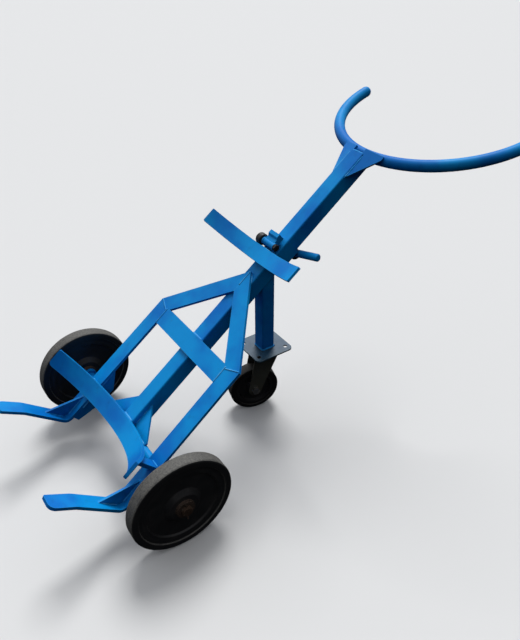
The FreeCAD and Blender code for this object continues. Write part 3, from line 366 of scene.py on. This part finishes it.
CAP_PLASTIC = {"Body": (0.008, 0.008, 0.009, 1), "Dust Amount": 0.1}
NYLON = {"Body": (0.55, 0.52, 0.44, 1), "Dust": (0.2, 0.17, 0.13, 1), "Dust Amount": 0.5}


def place_group(tree, group, values):
    """Put a surface group into a material with the values of one finish."""
    surface = tree.add("ShaderNodeGroup")
    surface.node_tree = group
    for key, value in values.items():
        surface.inputs[key].default_value = value
    return surface


def make_material(name, group, finish, bump, shader=None):
    """A Principled material whose look comes from one of the surface groups."""
    material = bpy.data.materials.new(name)
    material.use_nodes = True
    tree = Tree(material.node_tree)
    principled = tree.tree.nodes["Principled BSDF"]
    for key, value in (shader or {}).items():
        principled.inputs[key].default_value = value
    relief = tree.add("ShaderNodeBump", {"Strength": bump, "Distance": RELIEF_DEPTH})
    for output in place_group(tree, group, finish).outputs:
        if output.name == "Bump Height":
            tree.link(output, relief.inputs["Height"])
        else:
            tree.link(output, principled.inputs[output.name])
    tree.link(relief.outputs["Normal"], principled.inputs["Normal"])
    return material


def make_axle_material(paint, rust):
    """Painted bar whose bare ends, where the hubs run, have rusted."""
    material = make_material("axle_bar", paint, BLUE_ENAMEL, 0.3, SATIN)
    tree = Tree(material.node_tree)
    principled = tree.tree.nodes["Principled BSDF"]
    painted = next(node for node in tree.tree.nodes if node.type == "GROUP").outputs
    rusty = place_group(tree, rust, HUB_RUST).outputs
    parts = tree.add("ShaderNodeSeparateXYZ")
    tree.link(tree.add("ShaderNodeTexCoord").outputs["Object"], parts.inputs[0])
    along = tree.math("ABSOLUTE", parts.outputs["X"])
    bare = tree.band(along, BARE_FROM, BARE_FROM + BARE_BLEND)
    colour = tree.mix(bare, painted["Base Color"], rusty["Base Color"])
    rough = tree.mix_value(bare, painted["Roughness"], rusty["Roughness"])
    tree.link(colour, principled.inputs["Base Color"])
    tree.link(rough, principled.inputs["Roughness"])
    return material


def make_materials():
    paint = worn_paint_group()
    rubber = dusty_rubber_group()
    rust = rusty_steel_group()
    plastic = moulded_group()
    return {
        "blue": make_material("azure_enamel", paint, BLUE_ENAMEL, 0.3, SATIN),
        "axle": make_axle_material(paint, rust),
        "overspray": make_material("oversprayed_steel", paint, OVERSPRAY, 0.3),
        "fork": make_material("dull_fork_steel", paint, DULL_STEEL, 0.3),
        "black_metal": make_material("black_oxide", paint, BLACK_OXIDE, 0.2),
        "tyre": make_material("dusty_tyre", rubber, TYRE_RUBBER, 0.5, MATT),
        "caster_tyre": make_material("caster_tyre_rubber", rubber, CASTER_RUBBER, 0.5, MATT),
        "hub": make_material("rusty_hub", rust, HUB_RUST, 0.6),
        "zinc": make_material("dull_zinc", rust, ZINC, 0.3),
        "wheel_core": make_material("black_moulding", plastic, CORE_PLASTIC, 0.25, MATT),
        # Weld beads in the paler blue of a painted highlight.
        "weld": make_material("weld_painted_highlight", paint, BLUE_WELD_HIGHLIGHT, 0.2, SATIN),
        "cap": make_material("black_cap", plastic, CAP_PLASTIC, 0.2),
        "nylon": make_material("natural_nylon", plastic, NYLON, 0.2),
    }


BY_SLOT = {
    "blue_paint": "blue", "wheel_rubber": "tyre", "wheel_centre": "wheel_core",
    "rusty_steel": "hub", "caster_steel": "overspray", "bright_steel": "zinc",
    "black_steel": "black_metal", "black_plastic": "cap", "caster_rubber": "caster_tyre",
    "caster_centre": "wheel_core", "bush_plastic": "nylon",
}
BY_NODE = {"caster_fork": "fork", "axle_shaft": "axle"}


def dress_cad(frame, materials):
    for part in frame["record"]["subparts"]:
        node = frame["nodes"][part["node"]]
        key = BY_NODE.get(part["node"], BY_SLOT[part["material_slot"]])
        node.data.materials.clear()
        node.data.materials.append(materials[key])


# ---- weld beads -------------------------------------------------------------------

def deck(x, s, n):
    """Deck axes in mm to truck axes in metres: s up the spine, n out of its front face."""
    s, height = s * MM, n * MM + SPINE_HALF
    return Vector((x * MM, AXLE_Y + s * math.cos(LEAN) - height * math.sin(LEAN),
                   WHEEL_RADIUS + s * math.sin(LEAN) + height * math.cos(LEAN)))


class BeadMesh:
    """Collects rippled weld beads into one mesh."""

    SIDES = 8
    RIPPLE_PITCH = 0.95         # in bead radii
    RINGS_PER_RIPPLE = 4
    LEAST_RINGS = 6
    RIPPLE_LOW = 0.86           # radius between two ripples, as a part of the bead's
    RIPPLE_RISE = 0.16
    SWELL_RISE = 0.10
    SWELL_RATE = 260            # radians per metre
    TIP = 0.25                  # radius at the bead's ends, as a part of the bead's
    TAPER = 1.5                 # length of a tapered end, in bead radii
    WANDER = 6                  # radians, the latest that a bead's swell starts

    def __init__(self):
        self.points = []
        self.faces = []

    def run(self, path, radius):
        """A bead along a path of points, with overlapping ripples and tapered ends; radius in mm."""
        radius = radius * MM
        lengths = [0.0]
        for a, b in zip(path, path[1:]):
            lengths.append(lengths[-1] + (b - a).length)
        total = lengths[-1]
        pitch = radius * self.RIPPLE_PITCH
        steps = max(self.LEAST_RINGS, int(total / pitch * self.RINGS_PER_RIPPLE))
        rings = []
        wander = rng.uniform(0, self.WANDER)
        for i in range(steps + 1):
            at = total * i / steps
            k = max(j for j in range(len(lengths) - 1) if lengths[j] <= at + 1e-9)
            along = (path[k + 1] - path[k]).normalized()
            middle = path[k] + along * (at - lengths[k])
            ripple = self.RIPPLE_LOW + self.RIPPLE_RISE * abs(math.sin(math.pi * at / pitch))
            swell = 1 + self.SWELL_RISE * math.sin(at * self.SWELL_RATE + wander)
            end = min(1.0, self.TIP + min(at, total - at) / (self.TAPER * radius))
            rings.append(self.ring(middle, along, radius * ripple * swell * end))
        self.skin(rings)

    def ring(self, middle, along, radius):
        first = len(self.points)
        self.points += circle(middle, along, radius, self.SIDES)[:-1]
        return first

    def skin(self, rings):
        """Join the rings of one bead and close its two ends."""
        for a, b in zip(rings, rings[1:]):
            for j in range(self.SIDES):
                k = (j + 1) % self.SIDES
                self.faces.append((a + j, a + k, b + k, b + j))
        self.faces.append(tuple(range(rings[0] + self.SIDES - 1, rings[0] - 1, -1)))
        self.faces.append(tuple(range(rings[-1], rings[-1] + self.SIDES)))

    def make(self, name, body, material):
        mesh = bpy.data.meshes.new(name)
        mesh.from_pydata([tuple(p) for p in self.points], [], self.faces)
        mesh.polygons.foreach_set("use_smooth", [True] * len(mesh.polygons))
        mesh.update()
        piece = bpy.data.objects.new(name, mesh)
        bpy.context.scene.collection.objects.link(piece)
        mesh.materials.append(material)
        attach(piece, body)


def circle(centre, axis, radius, count=24):
    """Points round a circle, the first one again at the end."""
    side = axis.orthogonal().normalized()
    up = axis.cross(side)
    angles = [2 * math.pi * i / count for i in range(count + 1)]
    return [centre + (side * math.cos(a) + up * math.sin(a)) * radius for a in angles]


# Seams on each side of the frame: one end and the other as (x, s, n), and the bead's radius, in mm
SIDE_SEAMS = [
    # crossbar's end and diagonal's foot, on the side member
    ((146.6, CROSSBAR_LOW, FLAT), (146.3, CROSSBAR_HIGH - 2, FLAT), 1.8),
    ((188, 299, FLAT), (148, 282, FLAT), 1.8),
    # diagonal's head across the spine's face, and crossbar at the spine's side
    ((SPINE_SIDE, 477, 0), (0, 500, 0), 2.5),
    ((SPINE_SIDE, CROSSBAR_LOW - 1, -1), (SPINE_SIDE, CROSSBAR_HIGH + 1, -1), 2.5),
    # lower gusset, at the spine's side and along the axle
    ((SPINE_SIDE + 0.3, 20, -16.5), (SPINE_SIDE + 0.3, 86, -16.5), 2.8),
    ((30, 12, -14), (90, 12, -14), 2.8),
    # saddle stay, both edges of its foot on the side member
    ((163, 2, FLAT), (190, 2, FLAT), 2.5),
    ((163, 14, FLAT), (190, 14, FLAT), 2.5),
    # upper gusset, at the spine's side
    ((SPINE_SIDE + 0.3, 830, -4), (SPINE_SIDE + 0.3, 900, -4), 2.6),
    # axle bracket, along the side member's back
    ((152, -60, -0.5), (152, 60, -0.5), 2.2),
]
# Seams on the spine: saddle, crossbar's two edges, where the diagonals meet, top plate's two edges
SPINE_SEAMS = [
    ((-20, 26.4, 0.5), (20, 26.4, 0.5), 3.0),
    ((-20, CROSSBAR_LOW - 0.5, 0.5), (20, CROSSBAR_LOW - 0.5, 0.5), 2.6),
    ((-20, CROSSBAR_HIGH + 0.5, 0.5), (20, CROSSBAR_HIGH + 0.5, 0.5), 2.6),
    ((0, 499, FLAT), (0, 455, FLAT), 1.8),
    ((-20, SPINE_TOP, -3), (20, SPINE_TOP, -3), 3.5),
    ((-20, SPINE_TOP, SPINE_BACK + 3), (20, SPINE_TOP, SPINE_BACK + 3), 3.5),
]
# Seams of the catch: spacer to sleeve at its sides and upper edge, then spacer to catch plate
CATCH_SEAMS = [
    ((-20, 540, 5), (-20, 564, 5), 2.0),
    ((20, 540, 5), (20, 564, 5), 2.0),
    ((-19, 566.2, 6), (19, 566.2, 6), 2.2),
    ((-19, 566.4, 21), (19, 566.4, 21), 1.8),
]


def run_seam(beads, start, end, radius, side=1):
    beads.run([deck(side * x, s, n) for x, s, n in (start, end)], radius)


def toe_gusset_welds(beads, side):
    """Both faces of a toe gusset, along the side member and then along the toe."""
    for across in (-TOE_GUSSET_SEAM, TOE_GUSSET_SEAM):
        x = TOE_GUSSET_X + across
        run_seam(beads, (x, -46, FLAT), (x, -100, FLAT), 2.0, side)
        toe = [(x, HEEL - reach * TOE_DROOP, FLAT + reach) for reach in (8, 54)]
        run_seam(beads, *toe, 2.0, side)


def leg_welds(beads):
    """Round the leg's foot on the caster plate, and up two sides of its head on the spine."""
    corners = ((-1, -1), (1, -1), (1, 1), (-1, 1), (-1, -1))
    foot = [Vector((x * LEG_HALF, LEG_Y + y * LEG_HALF, CASTER_PLATE_TOP + 0.5 * MM))
            for x, y in corners]
    beads.run(foot, 2.8)
    for x in (-16.5, 16.5):
        run_seam(beads, (x, 490, SPINE_BACK - 0.5), (x, 531, SPINE_BACK - 0.5), 2.8)


def axle_welds(beads):
    """Rings round the axle: one within each bracket's plate, one clear of its outer side."""
    for x in (-169.5, -154.5, 154.5, 169.5):
        middle = Vector((x * MM, AXLE_Y, WHEEL_RADIUS))
        beads.run(circle(middle, Vector((1, 0, 0)), 12.8 * MM), 2.0)


def frame_welds(material):
    beads = BeadMesh()
    for side in (1, -1):
        for seam in SIDE_SEAMS:
            run_seam(beads, *seam, side)
        toe_gusset_welds(beads, side)
    for seam in SPINE_SEAMS:
        run_seam(beads, *seam)
    leg_welds(beads)
    axle_welds(beads)
    beads.make("frame_weld_beads", "frame", material)


def catch_welds(material):
    beads = BeadMesh()
    for seam in CATCH_SEAMS:
        run_seam(beads, *seam)
    out_of_deck = (deck(0, 0, 1) - deck(0, 0, 0)).normalized()
    boss_foot = deck(0, SCREW_BOSS_S, SPINE_BACK - 4.6)
    beads.run(circle(boss_foot, out_of_deck, 13.2 * MM), 1.6)
    beads.make("catch_weld_beads", "catch_carriage", material)


# ---- stage, light and camera --------------------------------------------------------

def add_floor():
    """Pale floor that sends no light back on to the truck."""
    bpy.ops.mesh.primitive_plane_add(size=FLOOR_SIZE, location=(0, 0, 0))
    floor = bpy.context.object
    floor.name = "studio_floor"
    material = bpy.data.materials.new("pale_floor")
    material.use_nodes = True
    shader = material.node_tree.nodes["Principled BSDF"]
    shader.inputs["Base Color"].default_value = FLOOR_COLOUR
    shader.inputs["Roughness"].default_value = FLOOR_ROUGHNESS
    floor.data.materials.append(material)
    floor.visible_diffuse = False
    floor.visible_glossy = False


def add_key_light():
    data = bpy.data.lights.new("key", "SUN")
    data.angle = math.radians(KEY_SPREAD)
    data.energy = KEY_POWER
    lamp = bpy.data.objects.new("key", data)
    lamp.rotation_euler = (-Vector(KEY_FROM)).to_track_quat("-Z", "Y").to_euler()
    bpy.context.scene.collection.objects.link(lamp)


def add_sky():
    """Soft light that fades from pale above to dark below, and an even pale backdrop."""
    world = bpy.data.worlds.new("studio")
    world.use_nodes = True
    tree = Tree(world.node_tree)
    background = world.node_tree.nodes["Background"]
    direction = tree.add("ShaderNodeTexCoord").outputs["Generated"]
    fade = tree.band(tree.dot(direction, SKY_FROM), *SKY_FADE)
    tree.link(tree.mix(fade, SKY_DARK, SKY_PALE), background.inputs["Color"])
    backdrop = tree.add("ShaderNodeBackground", {"Color": BACKDROP})
    seen = tree.add("ShaderNodeLightPath").outputs["Is Camera Ray"]
    choose = tree.add("ShaderNodeMixShader")
    for source, socket in zip((seen, background.outputs[0], backdrop.outputs[0]), choose.inputs):
        tree.link(source, socket)
    tree.link(choose.outputs[0], world.node_tree.nodes["World Output"].inputs["Surface"])
    bpy.context.scene.world = world


def add_camera():
    """The camera, with plain display colours so that the paint keeps its strong blue."""
    data = bpy.data.cameras.new("camera")
    data.lens = CAMERA_LENS
    data.clip_start = CAMERA_CLIP
    camera = bpy.data.objects.new("camera", data)
    camera.location = CAMERA_PLACE
    camera.rotation_euler = [math.radians(angle) for angle in CAMERA_TURN]
    bpy.context.scene.collection.objects.link(camera)
    bpy.context.scene.camera = camera
    bpy.context.scene.view_settings.view_transform = "Standard"


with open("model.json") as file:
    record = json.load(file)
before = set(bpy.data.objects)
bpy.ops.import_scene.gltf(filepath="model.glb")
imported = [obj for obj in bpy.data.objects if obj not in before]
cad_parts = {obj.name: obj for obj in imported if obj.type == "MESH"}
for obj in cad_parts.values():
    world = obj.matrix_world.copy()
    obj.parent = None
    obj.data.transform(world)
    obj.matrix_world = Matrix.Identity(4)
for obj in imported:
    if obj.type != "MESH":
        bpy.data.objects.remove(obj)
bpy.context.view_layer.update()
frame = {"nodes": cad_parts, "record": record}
materials = make_materials()
dress_cad(frame, materials)
frame_welds(materials["weld"])
catch_welds(materials["weld"])
add_floor()
add_key_light()
add_sky()
add_camera()
